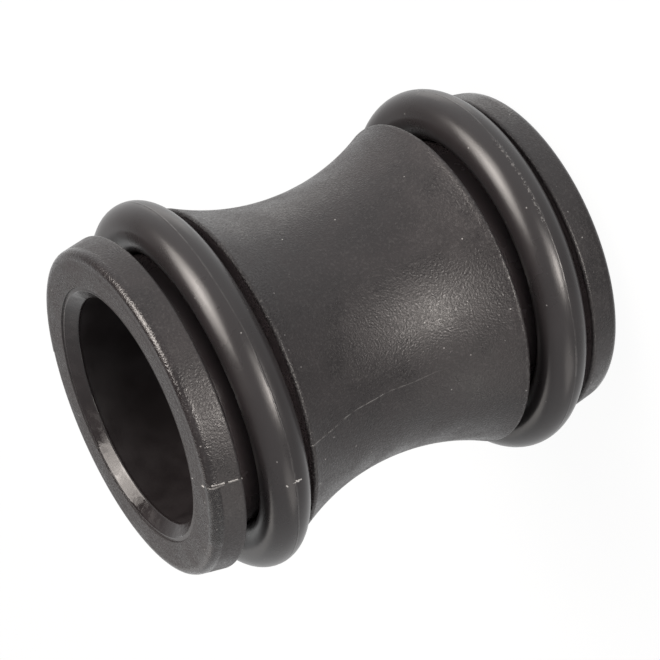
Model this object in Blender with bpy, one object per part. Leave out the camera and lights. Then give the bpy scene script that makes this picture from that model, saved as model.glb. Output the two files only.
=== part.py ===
"""Coolant connector pipe: a waisted moulded pipe with a rubber O-ring in a groove near each end.

The pipe stands on one end face. +Z runs up its axis, the origin is the centre of the lower end face, and the two
mould seams run up its sides at +X and -X. Each piece is an outline in the XZ plane, turned about the axis.
"""

from math import asin, cos, pi, radians, sin, sqrt, tan

import bmesh
import bpy
from mathutils import Matrix, Vector

# Driving dimensions of the pipe, in metres
BORE_RADIUS = 0.0108
MOUTH_CHAMFER = 0.0010
GROOVE_WALL = 0.00212  # from the bore to the groove's floor
WAIST_WALL = 0.00225  # from the bore to the narrowest point outside
WAIST_LENGTH = 0.0228  # between the two grooves
END_LENGTH = 0.0031  # from an end face to its groove
LEAD_IN_ANGLE = radians(10)  # the taper of each end, which guides it into a housing
NOSE_FILLET = 0.00075  # round the end face
RIM_FILLET = 0.0003  # round the groove's outer edges
FLOOR_FILLET = 0.0004  # in the groove's inner corners

# Driving dimensions of the O-rings
CORD_RADIUS = 0.00219
RING_SEAT_GAP = 0.0003  # between a ring and the floor of its groove
RING_PROUD = 0.00165  # how far a ring stands out past the groove's edges
RING_SIDE_PLAY = 0.00237  # the groove's width past the cord's thickness

# Where each ring lies in its groove: its middle's height and the height of its highest point over its middle, as shares
# of the room it has there, and the direction of its highest point from +X towards +Y
UPPER_RING_HEIGHT_SHARE = -0.63
UPPER_RING_LEAN_SHARE = 0.34
UPPER_RING_HIGH_SIDE = radians(62)
LOWER_RING_HEIGHT_SHARE = -0.10
LOWER_RING_LEAN_SHARE = 0.54
LOWER_RING_HIGH_SIDE = radians(-107)

# Sizes that follow
GROOVE_FLOOR_RADIUS = BORE_RADIUS + GROOVE_WALL
RING_INNER_RADIUS = GROOVE_FLOOR_RADIUS + RING_SEAT_GAP
RING_CENTRE_RADIUS = RING_INNER_RADIUS + CORD_RADIUS
SHOULDER_RADIUS = RING_CENTRE_RADIUS + CORD_RADIUS - RING_PROUD
NOSE_RADIUS = SHOULDER_RADIUS - END_LENGTH * tan(LEAD_IN_ANGLE)
WAIST_RADIUS = BORE_RADIUS + WAIST_WALL
GROOVE_WIDTH = 2 * CORD_RADIUS + RING_SIDE_PLAY
PIPE_LENGTH = 2 * (END_LENGTH + GROOVE_WIDTH) + WAIST_LENGTH

# How finely the round shapes are cut
TURN_STEPS = 64
CORD_STEPS = 16
FILLET_STEPS = 3
WAIST_STEPS = 14

# Colour, roughness
PLASTIC = (0.045, 0.042, 0.042), 0.55
RUBBER = (0.040, 0.039, 0.038), 0.34


def clear_scene():
    for thing in list(bpy.data.objects):
        bpy.data.objects.remove(thing, do_unlink=True)


def make_material(name, colour, roughness):
    material = bpy.data.materials.new(name)
    material.use_nodes = True
    shader = material.node_tree.nodes["Principled BSDF"]
    shader.inputs["Base Color"].default_value = (*colour, 1)
    shader.inputs["Roughness"].default_value = roughness
    shader.inputs["Metallic"].default_value = 0
    material.diffuse_color = (*colour, 1)
    return material


def rounded(corners):
    """The points of a closed outline whose corners, given as (radius, height, fillet), are rounded."""
    points = []
    for index, (radius, height, fillet) in enumerate(corners):
        corner = Vector((radius, height))
        to_last = (Vector(corners[index - 1][:2]) - corner).normalized()
        to_next = (Vector(corners[(index + 1) % len(corners)][:2]) - corner).normalized()
        if not fillet:
            points.append(corner)
            continue
        half_angle = to_last.angle(to_next) / 2
        centre = corner + (to_last + to_next).normalized() * fillet / sin(half_angle)
        start = corner + to_last * fillet / tan(half_angle) - centre
        end = corner + to_next * fillet / tan(half_angle) - centre
        for step in range(FILLET_STEPS + 1):
            points.append(centre + fillet * start.slerp(end, step / FILLET_STEPS))
    return points


def waist_corners():
    """The inner points of the waist's arc, which runs from shoulder to shoulder through the narrowest point."""
    half_length = WAIST_LENGTH / 2
    depth = SHOULDER_RADIUS - WAIST_RADIUS
    arc_radius = (half_length**2 + depth**2) / (2 * depth)
    heights = [WAIST_LENGTH * (step / WAIST_STEPS - 0.5) for step in range(1, WAIST_STEPS)]
    return [
        (WAIST_RADIUS + arc_radius - sqrt(arc_radius**2 - height**2), PIPE_LENGTH / 2 + height, 0)
        for height in heights
    ]


def pipe_corners():
    """Up the outside from the lower mouth, then the same mirrored to the upper mouth and back down the bore."""
    lower_end = [
        (BORE_RADIUS, MOUTH_CHAMFER, 0),
        (BORE_RADIUS + MOUTH_CHAMFER, 0, 0),
        (NOSE_RADIUS, 0, NOSE_FILLET),
        (SHOULDER_RADIUS, END_LENGTH, RIM_FILLET),
        (GROOVE_FLOOR_RADIUS, END_LENGTH, FLOOR_FILLET),
        (GROOVE_FLOOR_RADIUS, END_LENGTH + GROOVE_WIDTH, FLOOR_FILLET),
        (SHOULDER_RADIUS, END_LENGTH + GROOVE_WIDTH, RIM_FILLET),
    ]
    upper_end = [(radius, PIPE_LENGTH - height, fillet) for radius, height, fillet in reversed(lower_end)]
    return lower_end + waist_corners() + upper_end


def turned(name, outline, material):
    """A closed outline in the XZ plane, turned a full circle about Z into one solid object."""
    shape = bmesh.new()
    points = [shape.verts.new((radius, 0, height)) for radius, height in outline]
    edges = [shape.edges.new((point, points[index - 1])) for index, point in enumerate(points)]
    bmesh.ops.spin(
        shape,
        geom=points + edges,
        cent=(0, 0, 0),
        axis=(0, 0, 1),
        angle=2 * pi,
        steps=TURN_STEPS,
        use_merge=True,
    )
    bmesh.ops.recalc_face_normals(shape, faces=shape.faces)
    mesh = bpy.data.meshes.new(name)
    shape.to_mesh(mesh)
    shape.free()
    mesh.shade_smooth()
    mesh.set_sharp_from_angle(angle=radians(35))
    mesh.materials.append(material)
    thing = bpy.data.objects.new(name, mesh)
    bpy.context.scene.collection.objects.link(thing)
    return thing


def add_pipe(material):
    return turned("connector_pipe", rounded(pipe_corners()), material)


def add_o_ring(name, groove_middle, height_share, lean_share, high_side, material):
    """A ring of round cord that lies in its groove at the given shares of its side play."""
    angles = [2 * pi * step / CORD_STEPS for step in range(CORD_STEPS)]
    outline = [
        (RING_CENTRE_RADIUS + CORD_RADIUS * cos(angle), CORD_RADIUS * sin(angle))
        for angle in angles
    ]
    ring = turned(name, outline, material)
    room = RING_SIDE_PLAY / 2
    lean_axis = Vector((sin(high_side), -cos(high_side), 0))
    lean = Matrix.Rotation(asin(room * lean_share / RING_CENTRE_RADIUS), 4, lean_axis)
    ring.matrix_world = Matrix.Translation((0, 0, groove_middle + room * height_share)) @ lean
    return ring


def main():
    clear_scene()
    add_pipe(make_material("black_plastic", *PLASTIC))
    rubber = make_material("black_rubber", *RUBBER)
    lower_groove = END_LENGTH + GROOVE_WIDTH / 2
    upper_groove = PIPE_LENGTH - lower_groove
    add_o_ring(
        "upper_o_ring", upper_groove, UPPER_RING_HEIGHT_SHARE, UPPER_RING_LEAN_SHARE, UPPER_RING_HIGH_SIDE, rubber
    )
    add_o_ring(
        "lower_o_ring", lower_groove, LOWER_RING_HEIGHT_SHARE, LOWER_RING_LEAN_SHARE, LOWER_RING_HIGH_SIDE, rubber
    )


if __name__ == "__main__":
    main()
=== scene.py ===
"""Dresses the coolant connector pipe: its moulded plastic body, its two rubber O-rings and a pale studio."""

from math import atan2, ceil, cos, degrees, hypot, pi, radians, sin, sqrt, tan

import bmesh
import bpy
from mathutils import Matrix, Vector


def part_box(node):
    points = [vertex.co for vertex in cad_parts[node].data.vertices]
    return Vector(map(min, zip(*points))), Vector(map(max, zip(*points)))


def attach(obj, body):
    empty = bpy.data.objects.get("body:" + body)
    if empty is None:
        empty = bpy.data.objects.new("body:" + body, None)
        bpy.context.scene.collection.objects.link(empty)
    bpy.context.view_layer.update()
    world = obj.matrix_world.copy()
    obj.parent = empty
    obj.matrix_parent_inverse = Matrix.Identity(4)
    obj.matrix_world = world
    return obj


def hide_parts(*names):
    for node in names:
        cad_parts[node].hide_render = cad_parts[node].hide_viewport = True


bl_info = {
    "name": "Coolant Connector Pipe",
    "version": (1, 0, 0),
    "blender": (4, 5, 0),
    "location": "View3D > Sidebar > Connector Pipe",
    "description": "Models and finishes a moulded coolant connector pipe with its two O-rings",
    "category": "Mesh",
}

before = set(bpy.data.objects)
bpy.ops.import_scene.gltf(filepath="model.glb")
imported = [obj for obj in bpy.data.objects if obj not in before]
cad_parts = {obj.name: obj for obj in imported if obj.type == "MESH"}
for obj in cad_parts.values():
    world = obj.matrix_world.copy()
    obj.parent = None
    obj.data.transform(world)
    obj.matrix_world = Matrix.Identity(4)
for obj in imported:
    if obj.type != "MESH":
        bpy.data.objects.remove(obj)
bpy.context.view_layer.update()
PIPE_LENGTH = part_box("connector_pipe")[1].z
RING_NODES = ("upper_o_ring", "lower_o_ring")
RING_OUTER_RADIUS = max(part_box(name)[1].x for name in RING_NODES)
MM = 0.001
RING_SEAT_GAP = 0.31 * MM  # the solids leave this much under a ring, which really sits on its groove's floor

# How finely the shapes are cut
SHARP_ANGLE = radians(40)
FILLET_STEPS = 6
WAIST_STEPS = 40
CORD_STEPS = 48
RING_STEPS = 240
SEAM_BAND = radians(2.6)  # the band along each seam, which is cut more finely
SEAM_BAND_STEPS = 20
SIDE_STEPS = 72
BORE_EDGE = 2.0 * MM  # the longest edges of the outline: down the bore, at the ends and elsewhere
END_EDGE = 0.15 * MM
BODY_EDGE = 0.35 * MM


class PipeSizes(bpy.types.PropertyGroup):
    """The moulded body's sizes and colour."""

    bore_radius: bpy.props.FloatProperty(
        name="Bore radius", description="Inside radius of the straight bore",
        default=10.8 * MM, min=MM, unit="LENGTH",
    )
    mouth_chamfer: bpy.props.FloatProperty(
        name="Mouth chamfer", description="Depth and width of the chamfer round each mouth",
        default=1.0 * MM, min=0, unit="LENGTH",
    )
    land_width: bpy.props.FloatProperty(
        name="Land width", description="Width of the flat land between the chamfer and the end face",
        default=0.34 * MM, min=0, unit="LENGTH",
    )
    land_depth: bpy.props.FloatProperty(
        name="Land depth", description="How far the land's outer edge lies below the end face",
        default=0.14 * MM, min=0, unit="LENGTH",
    )
    half_offset: bpy.props.FloatProperty(
        name="Offset of the halves", description="How far the mould's halves are out of line along X",
        default=0.15 * MM, min=0, unit="LENGTH",
    )
    floor_radius: bpy.props.FloatProperty(
        name="Groove floor radius", description="Outside radius of the groove floors",
        default=12.92 * MM, min=MM, unit="LENGTH",
    )
    shoulder_radius: bpy.props.FloatProperty(
        name="Shoulder radius", description="Outside radius at the grooves' edges, before they are rounded",
        default=15.95 * MM, min=MM, unit="LENGTH",
    )
    waist_radius: bpy.props.FloatProperty(
        name="Waist radius", description="Outside radius at the middle of the waist",
        default=13.05 * MM, min=MM, unit="LENGTH",
    )
    end_length: bpy.props.FloatProperty(
        name="End length", description="From an end face to its groove",
        default=3.1 * MM, min=0, unit="LENGTH",
    )
    groove_width: bpy.props.FloatProperty(
        name="Groove width", description="Width of each O-ring groove",
        default=6.75 * MM, min=0, unit="LENGTH",
    )
    lead_in: bpy.props.FloatProperty(
        name="Lead-in angle", description="Taper of each end towards its end face",
        default=radians(10), min=0, subtype="ANGLE",
    )
    nose_fillet: bpy.props.FloatProperty(
        name="Nose fillet", description="Rounding at the outer edge of each end face",
        default=0.75 * MM, min=0, unit="LENGTH",
    )
    rim_fillet: bpy.props.FloatProperty(
        name="Rim fillet", description="Rounding of the grooves' outer edges",
        default=0.3 * MM, min=0, unit="LENGTH",
    )
    floor_fillet: bpy.props.FloatProperty(
        name="Floor fillet", description="Rounding in the grooves' inner corners",
        default=0.4 * MM, min=0, unit="LENGTH",
    )
    colour: bpy.props.FloatVectorProperty(
        name="Plastic colour", description="Colour of the black moulded plastic",
        default=(0.0148, 0.0121, 0.0127), min=0, max=1, subtype="COLOR",
    )
    roughness: bpy.props.FloatProperty(
        name="Plastic roughness", description="Roughness of the plastic's skin",
        default=0.42, min=0, max=1, subtype="FACTOR",
    )


class RingSizes(bpy.types.PropertyGroup):
    """The O-rings' sizes and colour."""

    cord_radius: bpy.props.FloatProperty(
        name="Cord radius", description="Half the thickness of the rubber cord",
        default=2.19 * MM, min=0, unit="LENGTH",
    )
    colour: bpy.props.FloatVectorProperty(
        name="Rubber colour", description="Colour of the black rubber",
        default=(0.0184, 0.0162, 0.0170), min=0, max=1, subtype="COLOR",
    )
    roughness: bpy.props.FloatProperty(
        name="Rubber roughness", description="Roughness of the rubber's skin",
        default=0.28, min=0, max=1, subtype="FACTOR",
    )


class StageSizes(bpy.types.PropertyGroup):
    """The camera and the floor."""

    distance: bpy.props.FloatProperty(
        name="Camera distance", description="From the camera to the point that it looks at",
        default=242.003 * MM, min=0, unit="LENGTH",
    )
    azimuth: bpy.props.FloatProperty(
        name="Camera azimuth", description="Turn of the camera about the pipe's axis, from +X towards +Y",
        default=radians(33.300), subtype="ANGLE",
    )
    elevation: bpy.props.FloatProperty(
        name="Camera elevation", description="Height of the camera over the point that it looks at, as an angle",
        default=radians(22.504), subtype="ANGLE",
    )
    roll: bpy.props.FloatProperty(
        name="Camera roll", description="Turn of the camera about its line of sight, which lays the pipe on its side",
        default=radians(-113.277), subtype="ANGLE",
    )
    lens: bpy.props.FloatProperty(
        name="Focal length", description="Focal length of the camera in millimetres",
        default=144.206, min=1, unit="CAMERA",
    )
    floor_radius: bpy.props.FloatProperty(
        name="Floor radius", description="Radius of the round floor",
        default=3, min=0, unit="LENGTH",
    )
    floor_shadow: bpy.props.FloatProperty(
        name="Floor shadow", description="How much of the floor's colour as seen is left to the light on it",
        default=0.05, min=0, max=1, subtype="FACTOR",
    )


class Value:
    """A socket in shader maths. An expression on values adds the Math nodes that work it out."""

    def __init__(self, tree, socket):
        self.tree = tree
        self.socket = socket

    def math(self, operation, *others, clamp=False):
        return self.tree.add("ShaderNodeMath", {"operation": operation, "use_clamp": clamp}, (self, *others))

    def __add__(self, other):
        return self.math("ADD", other)

    def __radd__(self, other):
        return self.math("ADD", other)

    def __sub__(self, other):
        return self.math("SUBTRACT", other)

    def __rsub__(self, other):
        return self.tree.add("ShaderNodeMath", {"operation": "SUBTRACT"}, (other, self))

    def __mul__(self, other):
        return self.math("MULTIPLY", other)

    def __rmul__(self, other):
        return self.math("MULTIPLY", other)

    def __pow__(self, other):
        return self.math("POWER", other)

    def sine(self):
        return self.math("SINE")

    def size(self):
        """Without its sign."""
        return self.math("ABSOLUTE")

    def most(self, *others):
        """The greatest of this and the others."""
        result = self
        for other in others:
            result = result.math("MAXIMUM", other)
        return result

    def steps(self, low, high):
        """0 below low, 1 above high and a smooth step between. Low may be over high."""
        sockets = {"Value": self, "From Min": low, "From Max": high}
        return self.tree.add("ShaderNodeMapRange", {"interpolation_type": "SMOOTHSTEP"}, sockets)

    def within(self, low, high, soft):
        """1 between low and high and 0 outside, with soft edges that wide."""
        return self.steps(low - soft, low) * self.steps(high + soft, high)

    def ridge(self, half_width):
        """1 at zero and 0 from that far on either side."""
        return self.size().steps(half_width, 0)


class Tree:
    """The nodes of a material or the world. Lengths are in millimetres and angles in degrees."""

    def __init__(self, owner):
        owner.use_nodes = True
        self.nodes = owner.node_tree.nodes
        self.links = owner.node_tree.links

    def put(self, socket, value):
        if isinstance(value, Value):
            self.links.new(value.socket, socket)
        else:
            socket.default_value = value

    def add(self, kind, settings=None, sockets=(), output=0):
        """A node of that kind with its settings, then its sockets' values or links. Gives one output."""
        node = self.nodes.new(kind)
        for name, value in (settings or {}).items():
            setattr(node, name, value)
        named = sockets.items() if isinstance(sockets, dict) else enumerate(sockets)
        for name, value in named:
            self.put(node.inputs[name], value)
        return Value(self, node.outputs[output])

    def vector(self, operation, *vectors, output=0, **named):
        sockets = {**dict(enumerate(vectors)), **named}
        return self.add("ShaderNodeVectorMath", {"operation": operation}, sockets, output)

    def seen_by(self, *kinds):
        """1 to rays of those kinds and 0 to the others."""
        rays = [self.add("ShaderNodeLightPath", output=f"Is {kind} Ray") for kind in kinds]
        return rays[0].most(*rays[1:])


class MaterialTree(Tree):
    """The nodes of one material, with the place on the object that they start from."""

    def __init__(self, name):
        self.material = bpy.data.materials.new(name)
        super().__init__(self.material)
        self.shader = self.nodes["Principled BSDF"]
        metres = self.add("ShaderNodeTexCoord", output="Object")
        self.place = self.vector("SCALE", metres, Scale=1 / MM)
        x, y, self.height = (self.add("ShaderNodeSeparateXYZ", {}, (self.place,), axis) for axis in range(3))
        self.side = y
        self.radius = (x * x + y * y) ** 0.5
        self.azimuth = y.math("ARCTAN2", x) * (180 / pi)

    def noise(self, grain, detail=2.0, roughness=0.5, offset=0):
        """Smooth noise from 0 to 1 whose grain is about that wide. Another offset gives another pattern."""
        place = self.vector("ADD", self.place, (offset, offset, offset))
        sockets = {"Vector": place, "Scale": 1 / grain, "Detail": detail, "Roughness": roughness}
        return self.add("ShaderNodeTexNoise", {}, sockets, "Fac")

    def specks(self, spacing, radius, share):
        """Small round specks at random, about that far apart, of which only a share shows."""
        sockets = {"Vector": self.place, "Scale": 1 / spacing}
        distance = self.add("ShaderNodeTexVoronoi", {}, sockets, "Distance")
        chance = self.add("ShaderNodeTexVoronoi", {}, sockets, "Color")
        red = self.add("ShaderNodeSeparateXYZ", {}, (chance,))
        return distance.steps(radius / spacing, 0.4 * radius / spacing) * red.steps(1 - share, 1.02 - share)

    def mark(self, start, end, half_width):
        """A straight scuff from start to end."""
        along = Vector(end) - Vector(start)
        to = self.vector("SUBTRACT", self.place, start)
        share = self.vector("DOT_PRODUCT", to, tuple(along), output="Value")
        share = share.math("DIVIDE", max(along.length_squared, 1e-6), clamp=True)
        nearest = self.vector("SCALE", tuple(along), Scale=share)
        gap = self.vector("SUBTRACT", to, nearest)
        return self.vector("LENGTH", gap, output="Value").steps(half_width, 0.3 * half_width)

    def blend(self, factor, first, second):
        """A mix of two colours."""
        settings = {"data_type": "RGBA"}
        return self.add("ShaderNodeMix", settings, {0: factor, 6: first, 7: second}, 2)

    def mottled(self, clouds, rgb):
        """A colour that is a little darker or lighter from place to place, as the clouds have it."""
        return self.blend(clouds, colour(rgb, 0.85), colour(rgb, 1.15))

    def bump(self, relief):
        """The normal of a surface whose relief is given in millimetres."""
        return self.add("ShaderNodeBump", {}, {"Strength": 1, "Distance": MM, "Height": relief})

    def set(self, **sockets):
        """Sets or links the main shader's sockets, whose names have underscores for spaces."""
        for name, value in sockets.items():
            self.put(self.shader.inputs[name.replace("_", " ")], value)


def colour(rgb, factor=1.0):
    """A colour with its alpha, made that many times as bright."""
    return (rgb[0] * factor, rgb[1] * factor, rgb[2] * factor, 1)


def wave(value):
    """The sine of a number or of a shader value."""
    return value.sine() if isinstance(value, Value) else sin(value)


def seam_path(height):
    """How far a mould seam wanders to the side at that height, both in millimetres."""
    return 0.09 * wave(0.55 * height) + 0.05 * wave(1.4 * height + 1)


def on_surface(azimuth, radius, height):
    """A point in millimetres from its azimuth in degrees, its radius and its height."""
    return radius * cos(radians(azimuth)), radius * sin(radians(azimuth)), height


def below_upper_end(azimuth, radius, depth):
    """A point in millimetres from its azimuth in degrees, its radius and its depth below the upper end face."""
    return on_surface(azimuth, radius, PIPE_LENGTH / MM - depth)


# Black, which is painted as shade into the chips on the upper end's nose
PAINTED_SHADE_BLACK = (0, 0, 0, 1)
# Pale dust, which the plastic also uses for its painted highlight and glints along the shoulders
PALE_DUST_AND_HIGHLIGHT = (0.42, 0.41, 0.40, 1)

# Scuffs on the upper end's seam and face: each starts and ends at an azimuth, a radius and a depth below the end face,
# and has a half width
SEAM_SCUFFS = (
    ((-1.3, 14.1, 0), (-1.0, 14.4, 0), 0.13),
    ((0.5, 15.3, 0.4), (0.3, 15.54, 1.4), 0.13),
    ((0.2, 15.65, 1.8), (0.1, 15.8, 2.6), 0.07),
    ((0, 15.89, 3.0), (0, 15.89, 3.3), 0.12),
    ((-2.1, 12.3, 0), (-2.1, 12.1, 0), 0.10),
)

# Nicks on the upper ring: each is at an azimuth, runs from one angle round the cord to another, and has a half width
RING_NICKS = (
    (-5, -12, -4, 0.10),
    (-5, -4, 2, 0.13),
    (-5, 4, 22, 0.06),
    (-5.6, 24, 26, 0.12),
    (24, 16, 28, 0.06),
)


def plastic_material(sizes):
    """Black glass-filled plastic: a fine grain with a sparkle, pale dust, scuffs and two mould seams, with painted
    light in the grooves, painted shade in the chips on one nose and painted highlights along the shoulders.
    """
    tree = MaterialTree("black_plastic")
    fine = tree.noise(0.18, 1.0)
    sparkle = tree.noise(0.17, 1.0, offset=40).steps(0.34, 0.66)
    patches = tree.noise(0.8, 2.0, 0.6).steps(0.42, 0.62)
    clouds = tree.noise(3.2, 3.0).steps(0.3, 0.7)

    # Where the edges lie
    length = PIPE_LENGTH / MM
    chamfer_depth = sizes.mouth_chamfer / MM
    mouth = sizes.bore_radius / MM + chamfer_depth
    rim = sizes.shoulder_radius / MM
    nose_rim = rim - sizes.end_length / MM * tan(sizes.lead_in)
    groove_start = sizes.end_length / MM
    groove_end = groove_start + sizes.groove_width / MM

    # Parts of the surface: the mouth, the grooves with their walls on the far side of the rings, and the edges
    from_end = length / 2 - (tree.height - length / 2).size()
    chamfer = tree.radius.steps(mouth + 0.05, mouth - 0.05) * from_end.steps(chamfer_depth + 0.3, chamfer_depth + 0.1)
    land = tree.radius.within(mouth - 0.1, mouth + 0.3, 0.05) * from_end.steps(0.2, 0.15)
    groove = from_end.within(groove_start + 0.05, groove_end - 0.05, 0.1)
    groove = groove * tree.radius.steps(mouth - 0.3, mouth + 0.2) * tree.radius.steps(rim - 0.25, rim - 0.55)
    painted_light_far_wall = tree.height.within(length - groove_end - 0.05, length - groove_end + 1.95, 0.3)
    painted_light_far_wall = painted_light_far_wall.most(tree.height.within(groove_start - 0.1, groove_start + 1.9, 0.3))
    outside = tree.radius.steps(mouth + 0.2, mouth + 0.5) * (1 - groove)
    end_face = from_end.steps(0.3, 0.1) * tree.radius.steps(nose_rim - 1.1, nose_rim - 1.5)
    nose = from_end.steps(1.0, 0.7) * tree.radius.steps(nose_rim - 0.9, nose_rim - 0.5)
    # The chips on the upper end's nose, which have real relief and painted shade
    chips_and_painted_shade = nose * tree.azimuth.within(-24, -1, 4) * tree.height.steps(30, 32)
    shoulder = (from_end - groove_end - 0.13).ridge(0.75) * tree.radius.steps(rim - 0.75, rim - 0.45)

    # The seams, with scuffs on the one that shows, a thin painted highlight along the upper shoulder's rim and painted
    # glints as pale speckles along each shoulder
    strength = (0.12 + 0.88 * patches) * (0.04 + 0.96 * tree.height.steps(14, 29)) * outside * (1 - end_face)
    seam = (tree.side - seam_path(tree.height)).ridge(0.08) * strength
    scuffs = [
        tree.mark(below_upper_end(*start), below_upper_end(*end), half_width)
        for start, end, half_width in SEAM_SCUFFS
    ]
    scuffs = scuffs[0].most(*scuffs[1:]) * tree.noise(0.25, 1.0).steps(0.25, 0.5)
    # Painted highlight: a broken pale line along the upper shoulder's rim, where it catches the light
    painted_rim_highlight = (tree.height - (length - groove_end + 0.11)).ridge(0.09) * tree.azimuth.within(49, 68, 1.5)
    painted_rim_highlight = painted_rim_highlight * tree.noise(0.35, 2.0, 0.6).steps(0.34, 0.5)
    # Painted glints: pale speckles along the edges of both shoulders
    painted_shoulder_glints = shoulder * tree.noise(0.22, 2.0, 0.7).steps(0.54, 0.7)
    dust = tree.specks(1.4, 0.10, 0.6) * outside
    salt = tree.noise(0.26, 2.0, 0.7, offset=80).steps(0.48, 0.72) * outside
    # The pale marks: dust, scuffs, seams and grain, with the painted highlight and glints along the shoulders
    pale = scuffs.most(0.30 * seam, 0.45 * painted_rim_highlight, 0.5 * dust, 0.14 * painted_shoulder_glints, 0.035 * salt)

    skin = tree.mottled(clouds, sizes.colour)
    # Painted shade: the colour is darkened in the chips on the upper end's nose
    skin = tree.blend(0.5 * chips_and_painted_shade, skin, PAINTED_SHADE_BLACK)
    # Painted light: the grooves are made lighter, and the groove walls on the far side of the rings much lighter, as
    # painted fill light in these recesses
    skin = tree.blend(groove, skin, colour(sizes.colour, 2.6))
    skin = tree.blend(groove * painted_light_far_wall, skin, colour(sizes.colour, 10))
    relief = 0.045 * fine * (0.05 + 0.95 * outside) * (1 + 1.4 * end_face) + 0.02 * chamfer * clouds
    relief = relief + 0.03 * seam + 0.04 * scuffs
    relief = relief + shoulder * 0.09 * tree.noise(0.3, 2.0, 0.6) + chips_and_painted_shade * 0.2 * tree.noise(0.3, 3.0, 0.7)
    roughness = sizes.roughness - 0.09 + 0.17 * outside * (sparkle - 0.5) + 0.14 * clouds
    gloss = chamfer * (0.24 - 0.12 * patches) + 0.14 * land + 0.18 * groove + 0.22 * nose
    tree.set(Base_Color=tree.blend(pale, skin, PALE_DUST_AND_HIGHLIGHT), Roughness=roughness - gloss, Normal=tree.bump(relief))
    return tree.material


def ring_height(node):
    """The height of the middle of a ring."""
    low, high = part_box(node)
    return (low.z + high.z) / 2


def on_ring(azimuth, cord_angle, height, cord_radius):
    """A point on a ring in millimetres, from its azimuth and its place round the cord in degrees."""
    centre_radius = (RING_OUTER_RADIUS - cord_radius) / MM
    radius = centre_radius + cord_radius / MM * cos(radians(cord_angle))
    return on_surface(azimuth, radius, height + cord_radius / MM * sin(radians(cord_angle)))


def rubber_material(sizes):
    """Black moulded rubber with a satin skin, a parting line round the outside and pale dust."""
    tree = MaterialTree("black_rubber")
    cord_angle = tree.add("ShaderNodeAttribute", {"attribute_name": "cord_angle"}, output="Fac")
    fine = tree.noise(0.4, 2.0, 0.6)
    waves = tree.noise(2.4, 2.0)
    clouds = tree.noise(3.5, 3.0)
    dust = tree.specks(1.5, 0.09, 0.6)

    # The parting line, which stands out more on one side of the upper ring and is torn on one side of the lower ring
    upper = tree.height.steps(20, 22)
    proud = 1 + 1.2 * upper * tree.azimuth.within(-75, -6, 6)
    wander = 10 * (tree.noise(9.0, 1.0) - 0.5)
    parting = (cord_angle - wander).ridge(3.0) * (0.4 + 0.6 * tree.noise(1.2, 2.0, 0.6).steps(0.42, 0.6))
    torn = (1 - upper) * tree.azimuth.within(38, 64, 4) * (cord_angle - 2).ridge(7)
    torn = torn * tree.noise(0.25, 2.0, 0.7).steps(0.5, 0.62)

    nicks = torn * 0.25
    height = ring_height("upper_o_ring") / MM
    for azimuth, first, last, half_width in RING_NICKS:
        start = on_ring(azimuth, first, height, sizes.cord_radius)
        end = on_ring(azimuth + 0.4, last, height, sizes.cord_radius)
        nicks = nicks.most(tree.mark(start, end, half_width))

    pale = (0.5 * dust).most(nicks, 0.05 * parting)
    skin = tree.mottled(clouds, sizes.colour)
    relief = 0.004 * fine + 0.012 * waves + 0.03 * parting * proud + 0.04 * nicks + 0.04 * torn
    tree.set(
        Base_Color=tree.blend(pale, skin, PALE_DUST_AND_HIGHLIGHT),
        Roughness=sizes.roughness - 0.04 + 0.08 * clouds,
        Normal=tree.bump(relief),
    )
    return tree.material


def rounded(corners):
    """The points of a closed outline whose corners, given as (radius, height, fillet), are rounded."""
    points = []
    for index, (radius, height, fillet) in enumerate(corners):
        corner = Vector((radius, height))
        to_last = (Vector(corners[index - 1][:2]) - corner).normalized()
        to_next = (Vector(corners[(index + 1) % len(corners)][:2]) - corner).normalized()
        if not fillet:
            points.append(corner)
            continue
        half_angle = to_last.angle(to_next) / 2
        centre = corner + (to_last + to_next).normalized() * fillet / sin(half_angle)
        start = corner + to_last * fillet / tan(half_angle) - centre
        end = corner + to_next * fillet / tan(half_angle) - centre
        for step in range(FILLET_STEPS + 1):
            points.append(centre + fillet * start.slerp(end, step / FILLET_STEPS))
    return points


def spaced(points, sizes):
    """The same closed outline with points added, close together at the ends and far apart down the bore."""
    result = []
    for index, point in enumerate(points):
        last = points[index - 1]
        down_bore = max(point.x, last.x) < sizes.bore_radius + 0.01 * MM
        near_end = min(point.y, PIPE_LENGTH - point.y) < sizes.end_length + 0.1 * MM
        longest = BORE_EDGE if down_bore else END_EDGE if near_end else BODY_EDGE
        count = ceil((point - last).length / longest)
        result += [last.lerp(point, step / count) for step in range(count)]
    return result


def waist_corners(sizes):
    """The inner points of the waist's arc."""
    half_length = PIPE_LENGTH / 2 - sizes.end_length - sizes.groove_width
    depth = sizes.shoulder_radius - sizes.waist_radius
    arc_radius = (half_length**2 + depth**2) / (2 * depth)
    heights = [half_length * (2 * step / WAIST_STEPS - 1) for step in range(1, WAIST_STEPS)]
    return [
        (sizes.waist_radius + arc_radius - sqrt(arc_radius**2 - height**2), PIPE_LENGTH / 2 + height, 0)
        for height in heights
    ]


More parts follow.
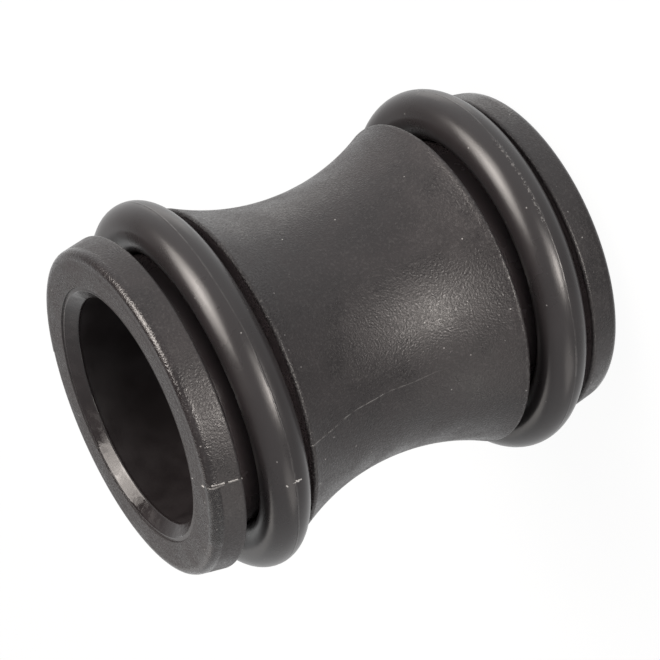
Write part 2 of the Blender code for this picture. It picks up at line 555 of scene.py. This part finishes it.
def pipe_outline(sizes):
    """Up the outside from the lower mouth, then mirrored to the upper mouth and back down the bore."""
    nose_radius = sizes.shoulder_radius - sizes.end_length * tan(sizes.lead_in)
    groove_end = sizes.end_length + sizes.groove_width
    land_radius = sizes.bore_radius + sizes.mouth_chamfer
    step_radius = land_radius + sizes.land_width
    lower_end = [
        (sizes.bore_radius, sizes.mouth_chamfer, 0.3 * MM),
        (land_radius, sizes.land_depth / 2, 0.06 * MM),
        (step_radius, sizes.land_depth, 0.02 * MM),
        (step_radius + 0.04 * MM, 0, 0.03 * MM),
        (nose_radius, 0, sizes.nose_fillet),
        (sizes.shoulder_radius, sizes.end_length, sizes.rim_fillet),
        (sizes.floor_radius, sizes.end_length, sizes.floor_fillet),
        (sizes.floor_radius, groove_end, sizes.floor_fillet),
        (sizes.shoulder_radius, groove_end, sizes.rim_fillet),
    ]
    upper_end = [(radius, PIPE_LENGTH - height, fillet) for radius, height, fillet in reversed(lower_end)]
    return spaced(rounded(lower_end + waist_corners(sizes) + upper_end), sizes)


def turned(outline, sectors):
    """A closed outline in the XZ plane, turned about Z through sectors given as (angle, steps)."""
    shape = bmesh.new()
    points = [shape.verts.new((radius, 0, height)) for radius, height in outline]
    rim = points + [shape.edges.new((point, points[index - 1])) for index, point in enumerate(points)]
    for angle, steps in sectors:
        turn = bmesh.ops.spin(shape, geom=rim, axis=(0, 0, 1), angle=angle, steps=steps)
        rim = turn["geom_last"]
    bmesh.ops.remove_doubles(shape, verts=shape.verts, dist=0.001 * MM)
    bmesh.ops.recalc_face_normals(shape, faces=shape.faces)
    return shape


def finish_piece(name, shape, material, node):
    """Makes the shape an object that stands for a node of the frame."""
    mesh = bpy.data.meshes.new(name)
    shape.to_mesh(mesh)
    shape.free()
    mesh.shade_smooth()
    mesh.set_sharp_from_angle(angle=SHARP_ANGLE)
    mesh.materials.append(material)
    piece = bpy.data.objects.new(name, mesh)
    bpy.context.scene.collection.objects.link(piece)
    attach(piece, "root")
    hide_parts(node)


def seam_sectors():
    """A full turn that starts at the middle of the seam at +X, cut finely near both seams."""
    half_band = (SEAM_BAND / 2, SEAM_BAND_STEPS // 2)
    side = (pi - SEAM_BAND, SIDE_STEPS)
    return [half_band, side, half_band, half_band, side, half_band]


def portion(value, low, high):
    """How far the value is from low to high, from 0 to 1."""
    return min(max((value - low) / (high - low), 0), 1)


def set_off_halves(shape, offset):
    """Lets the seams wander, and moves the mould's halves apart along X, so that a step runs along each seam.

    The step is on the flanges and shoulders, and fades towards the lower end.
    """
    wander_reach = 0.3
    step_reach = 0.03
    for vertex in shape.verts:
        x, y, z = vertex.co / MM
        radius = hypot(x, y)
        near_seam = max(1 - abs(y) / wander_reach, 0)
        vertex.co.y += seam_path(z) * MM * portion(radius, 12.6, 13.0) * near_seam
        raised = portion(radius, 13.4, 15.0) * (vertex.co.z / PIPE_LENGTH) ** 3
        half = min(max(-y / step_reach, -1), 1)
        vertex.co.x += offset / 2 * raised * half


class MESH_OT_pipe_body(bpy.types.Operator):
    """Model the moulded body in place of its plain solid"""

    bl_idname = "mesh.connector_pipe_body"
    bl_label = "Moulded Body"

    def execute(self, context):
        sizes = context.scene.pipe_sizes
        shape = turned(pipe_outline(sizes), seam_sectors())
        set_off_halves(shape, sizes.half_offset)
        finish_piece("pipe_body", shape, plastic_material(sizes), "connector_pipe")
        return {"FINISHED"}


def cord_outline(cord_radius):
    """The outline of a ring's round cord, whose inner side is drawn in to the groove's floor."""
    centre_radius = RING_OUTER_RADIUS - cord_radius
    outline = []
    for step in range(CORD_STEPS):
        angle = 2 * pi * step / CORD_STEPS
        seat = RING_SEAT_GAP * max(0, -cos(angle)) ** 2
        outline.append((centre_radius + cord_radius * cos(angle) - seat, cord_radius * sin(angle)))
    return outline


def keep_cord_angles(shape, centre_radius):
    """Keeps each point's angle round the cord, in degrees, as an attribute for the material."""
    cord_angle = shape.verts.layers.float.new("cord_angle")
    for vertex in shape.verts:
        outwards = hypot(vertex.co.x, vertex.co.y) - centre_radius
        vertex[cord_angle] = degrees(atan2(vertex.co.z, outwards))


def ring_pose(node):
    """Where a ring lies: up the axis, and with the same lean as its solid."""
    height = ring_height(node)
    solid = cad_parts[node]
    points = [solid.matrix_world @ vertex.co for vertex in solid.data.vertices]
    slope_x = sum(point.x * (point.z - height) for point in points) / sum(point.x**2 for point in points)
    slope_y = sum(point.y * (point.z - height) for point in points) / sum(point.y**2 for point in points)
    lean = Vector((0, 0, 1)).rotation_difference(Vector((-slope_x, -slope_y, 1)))
    return Matrix.Translation((0, 0, height)) @ lean.to_matrix().to_4x4()


class MESH_OT_o_rings(bpy.types.Operator):
    """Model both O-rings in place of their plain solids"""

    bl_idname = "mesh.connector_pipe_o_rings"
    bl_label = "O-Rings"

    def execute(self, context):
        sizes = context.scene.ring_sizes
        material = rubber_material(sizes)
        for node in RING_NODES:
            shape = turned(cord_outline(sizes.cord_radius), [(2 * pi, RING_STEPS)])
            keep_cord_angles(shape, RING_OUTER_RADIUS - sizes.cord_radius)
            bmesh.ops.transform(shape, matrix=ring_pose(node), verts=shape.verts)
            finish_piece(node.replace("_o_ring", "_ring"), shape, material, node)
        return {"FINISHED"}


LOOKED_AT = (0.0756 * MM, -0.1576 * MM, 21.3122 * MM)
SENSOR_WIDTH = 36
LAMP_DISTANCE = 600 * MM
LAMP_COLOUR = (1.0, 0.93, 0.87)

# How bright the room is on each side of the camera's frame: right, up and back are 1, and their opposites are -1
ROOM = {
    (1, 0, 0): 0.49,
    (0, 1, 0): 1.23,
    (0, -1, 0): 0.65,
    (0, 0, 1): 0.57,
    (0, 0, -1): 0.96,
}

# Each lamp's direction to the right, up and back in the camera's frame, its width and height, and its power
LAMPS = {
    "left_key": ((-0.84, 0.21, 0.49), (0.20, 0.20), 1.1),
    "left_softbox": ((-0.84, 0.20, 0.46), (0.50, 0.50), 5.6),
    "right_key": ((0.58, -0.12, 0.80), (0.14, 0.18), 1.15),
    "right_softbox": ((0.50, -0.08, 0.86), (0.36, 0.38), 1.65),
    "low_left_lamp": ((-0.66, -0.67, -0.34), (0.20, 0.20), 0.20),
    "low_left_rim": ((-0.65, -0.48, -0.59), (0.25, 0.25), 0.06),
    "top_rim": ((-0.08, 0.80, -0.59), (0.35, 0.25), 0.19),
    "low_rim": ((0.45, -0.87, 0.20), (0.35, 0.25), 0.41),
}


class Eye:
    """The camera's place and its directions to the right, up and back."""

    def __init__(self, sizes):
        turn = Matrix.Rotation(sizes.azimuth, 3, "Z") @ Matrix.Rotation(-sizes.elevation, 3, "Y")
        self.back = turn @ Vector((1, 0, 0))
        level_right = turn @ Vector((0, 1, 0))
        level_up = turn @ Vector((0, 0, 1))
        self.right = level_right * cos(sizes.roll) + level_up * sin(sizes.roll)
        self.up = self.back.cross(self.right)
        self.place = Vector(LOOKED_AT) + self.back * sizes.distance

    def towards(self, right, up, back):
        """A direction that is given in the camera's own frame."""
        return (self.right * right + self.up * up + self.back * back).normalized()


def pose_matrix(right, up, back, place):
    """Puts a camera or a lamp at the place, looking away from back."""
    return Matrix.Translation(place) @ Matrix((right, up, back)).transposed().to_4x4()


def add_lamp(eye, name, direction, size, power):
    """A rectangular soft lamp, which the camera doesn't see, in that direction of the camera's frame."""
    lamp = bpy.data.lights.new(name, "AREA")
    lamp.shape = "RECTANGLE"
    lamp.size, lamp.size_y = size
    lamp.energy = power
    lamp.color = LAMP_COLOUR
    thing = bpy.data.objects.new(name, lamp)
    outwards = eye.towards(*direction)
    side = eye.up.cross(outwards).normalized()
    place = Vector((0, 0, PIPE_LENGTH / 2)) + outwards * LAMP_DISTANCE
    thing.matrix_world = pose_matrix(side, outwards.cross(side), outwards, place)
    thing.visible_camera = False
    bpy.context.scene.collection.objects.link(thing)


def add_camera(eye, lens):
    """The camera that takes the photo's view."""
    camera = bpy.data.cameras.new("photo_camera")
    camera.lens = lens
    camera.sensor_width = SENSOR_WIDTH
    camera.clip_start = 1 * MM
    thing = bpy.data.objects.new("photo_camera", camera)
    thing.matrix_world = pose_matrix(eye.right, eye.up, eye.back, eye.place)
    bpy.context.scene.collection.objects.link(thing)
    bpy.context.scene.camera = thing


def add_world(eye):
    """White where the camera looks. The object reflects a room whose brightness changes softly from side to side."""
    world = bpy.data.worlds.new("studio")
    bpy.context.scene.world = world
    tree = Tree(world)
    direction = tree.add("ShaderNodeTexCoord", output="Generated")
    strength = tree.seen_by("Camera", "Transmission")
    for side, brightness in ROOM.items():
        facing = tree.vector("DOT_PRODUCT", direction, tuple(eye.towards(*side)), output="Value")
        strength = strength + brightness * facing.most(0) ** 2
    background = tree.nodes["Background"]
    tree.put(background.inputs["Strength"], strength.math("MINIMUM", 1))
    tree.put(background.inputs["Color"], (1, 1, 1, 1))


def add_floor(sizes):
    """A pale floor that looks white and keeps the object's shadow. The object reflects the room instead."""
    shape = bmesh.new()
    bmesh.ops.create_circle(shape, cap_ends=True, radius=sizes.floor_radius, segments=64)
    mesh = bpy.data.meshes.new("floor")
    shape.to_mesh(mesh)
    shape.free()
    floor = bpy.data.objects.new("floor", mesh)
    bpy.context.scene.collection.objects.link(floor)
    tree = MaterialTree("pale_floor")
    tree.set(Base_Color=colour((0.8, 0.8, 0.8)), Roughness=0.9)
    white = tree.seen_by("Camera", "Glossy", "Transmission") * (1 - sizes.floor_shadow)
    glow = tree.add("ShaderNodeEmission")
    surface = tree.add("ShaderNodeMixShader", {}, (white, Value(tree, tree.shader.outputs[0]), glow))
    tree.put(tree.nodes["Material Output"].inputs["Surface"], surface)
    mesh.materials.append(tree.material)
    floor.visible_shadow = False
    floor.visible_diffuse = False
    floor.visible_glossy = False


class SCENE_OT_studio(bpy.types.Operator):
    """Set up the floor, the lamps and the camera"""

    bl_idname = "scene.connector_pipe_studio"
    bl_label = "Studio"

    def execute(self, context):
        sizes = context.scene.stage_sizes
        eye = Eye(sizes)
        add_world(eye)
        add_floor(sizes)
        for name, (direction, size, power) in LAMPS.items():
            add_lamp(eye, name, direction, size, power)
        add_camera(eye, sizes.lens)
        context.scene.view_settings.view_transform = "Standard"
        return {"FINISHED"}


class VIEW3D_PT_connector_pipe(bpy.types.Panel):
    """Lists the pieces of the connector pipe"""

    bl_label = "Connector Pipe"
    bl_idname = "VIEW3D_PT_connector_pipe"
    bl_space_type = "VIEW_3D"
    bl_region_type = "UI"
    bl_category = "Connector Pipe"

    def draw(self, context):
        for operator in OPERATORS:
            self.layout.operator(operator.bl_idname)
        for name in SIZE_GROUPS:
            box = self.layout.box()
            group = getattr(context.scene, name)
            for field in group.__annotations__:
                box.prop(group, field)


OPERATORS = (MESH_OT_pipe_body, MESH_OT_o_rings, SCENE_OT_studio)
SIZE_GROUPS = {"pipe_sizes": PipeSizes, "ring_sizes": RingSizes, "stage_sizes": StageSizes}
CLASSES = (*SIZE_GROUPS.values(), *OPERATORS, VIEW3D_PT_connector_pipe)


def register():
    for item in CLASSES:
        bpy.utils.register_class(item)
    for name, group in SIZE_GROUPS.items():
        setattr(bpy.types.Scene, name, bpy.props.PointerProperty(type=group))


def unregister():
    for name in SIZE_GROUPS:
        delattr(bpy.types.Scene, name)
    for item in reversed(CLASSES):
        bpy.utils.unregister_class(item)


def main():
    register()
    bpy.ops.mesh.connector_pipe_body()
    bpy.ops.mesh.connector_pipe_o_rings()
    bpy.ops.scene.connector_pipe_studio()


if __name__ == "__main__":
    main()
